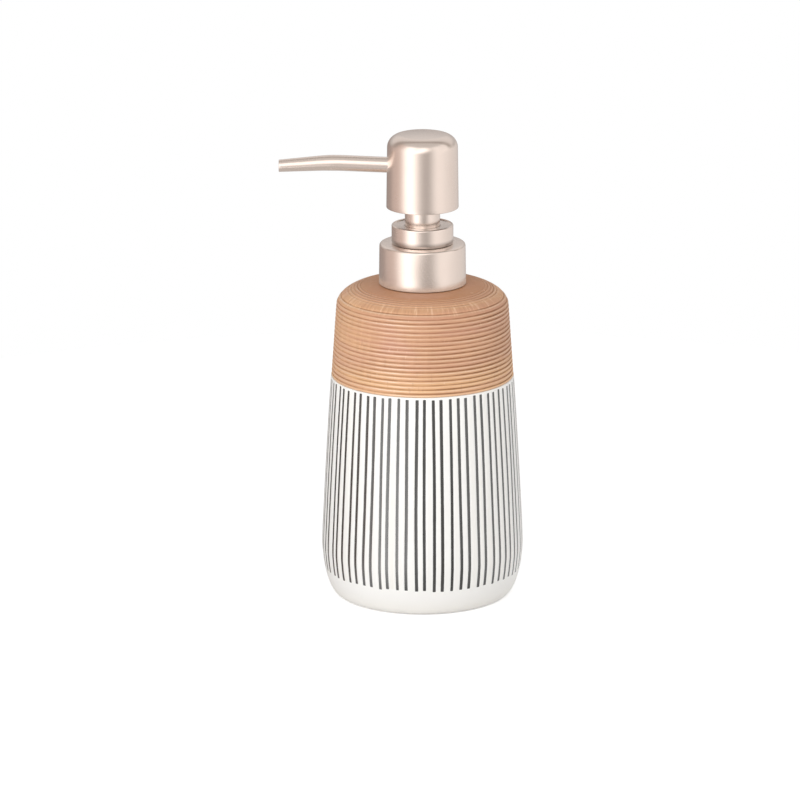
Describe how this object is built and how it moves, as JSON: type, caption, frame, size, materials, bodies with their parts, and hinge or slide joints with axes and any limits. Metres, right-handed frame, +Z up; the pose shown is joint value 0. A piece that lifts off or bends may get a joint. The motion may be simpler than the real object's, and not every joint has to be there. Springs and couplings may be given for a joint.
{
  "type": "soap pump dispenser",
  "caption": "Countertop soap bottle of striped glazed ceramic with a ribbed turned-wood shoulder and a screw-on metal lotion pump with a side spout.",
  "frame": {"origin": "centre of the flat base, on the bottle's axis, at the surface it stands on", "axes": "+Z up along the bottle's axis, towards the pump head; the spout points along -X; -Y is the front"},
  "size_m": [0.0903, 0.075, 0.175],
  "materials": {
    "glazed_ceramic": "satin white glaze with fine charcoal upright stripes",
    "turned_wood": "matt oiled, fine turned ribs",
    "rose_metal": "satin champagne rose plating",
    "white_plastic": "moulded polypropylene",
    "clear_plastic": "translucent natural polypropylene and polyethylene",
    "soft_seal": "soft polyethylene seal",
    "spring_steel": "bright stainless"
  },
  "bodies": {
    "bottle": {"ceramic_bottle": "glazed_ceramic", "wood_sleeve": "turned_wood", "neck_ring": "white_plastic"},
    "gasket": {"neck_gasket": "soft_seal"},
    "pump_unit": {"pump_housing": "clear_plastic", "stem_guide": "white_plastic", "ring_cap": "rose_metal", "ball_cage": "white_plastic", "return_spring": "spring_steel", "dip_tube": "clear_plastic"},
    "inlet_ball": {"check_ball": "spring_steel"},
    "collar": {"collar_shell": "rose_metal", "collar_insert": "white_plastic"},
    "plunger": {"valve_stem": "white_plastic"},
    "piston_seal": {"piston": "soft_seal"},
    "head": {"stem_tube": "white_plastic", "stem_sleeve": "rose_metal", "head_core": "white_plastic", "head_shell": "rose_metal", "spout_tube": "rose_metal", "spout_liner": "white_plastic"}
  },
  "joints": [
    {"name": "lift_out", "type": "slide", "parent": "bottle", "child": "gasket", "axis": [0, 0, 1], "range_m": [0, 0.13]},
    {"name": "thread_rise", "type": "slide", "parent": "gasket", "child": "pump_unit", "axis": [0, 0, 1], "range_m": [0, 0.00425]},
    {"name": "collar_turn", "type": "hinge", "parent": "pump_unit", "child": "collar", "pos_m": [0, 0, 0.119], "axis": [0, 0, 1], "range_deg": [0, 360]},
    {"name": "pump_stroke", "type": "slide", "parent": "pump_unit", "child": "plunger", "axis": [0, 0, -1], "range_m": [0, 0.01275], "stiffness_N_per_m": 500, "springref_m": -0.01, "deforming": ["return_spring"]},
    {"name": "head_swivel", "type": "hinge", "parent": "plunger", "child": "head", "pos_m": [0, 0, 0.12], "axis": [0, 0, 1], "continuous": true},
    {"name": "piston_shift", "type": "slide", "parent": "plunger", "child": "piston_seal", "axis": [0, 0, 1], "range_m": [0, 0.0012]},
    {"name": "ball_lift", "type": "slide", "parent": "pump_unit", "child": "inlet_ball", "axis": [0, 0, 1], "range_m": [0, 0.001]}
  ],
  "couplings": [
    {"joint": "thread_rise", "follows": "collar_turn", "m_per_rad": 0.00067376}
  ]
}
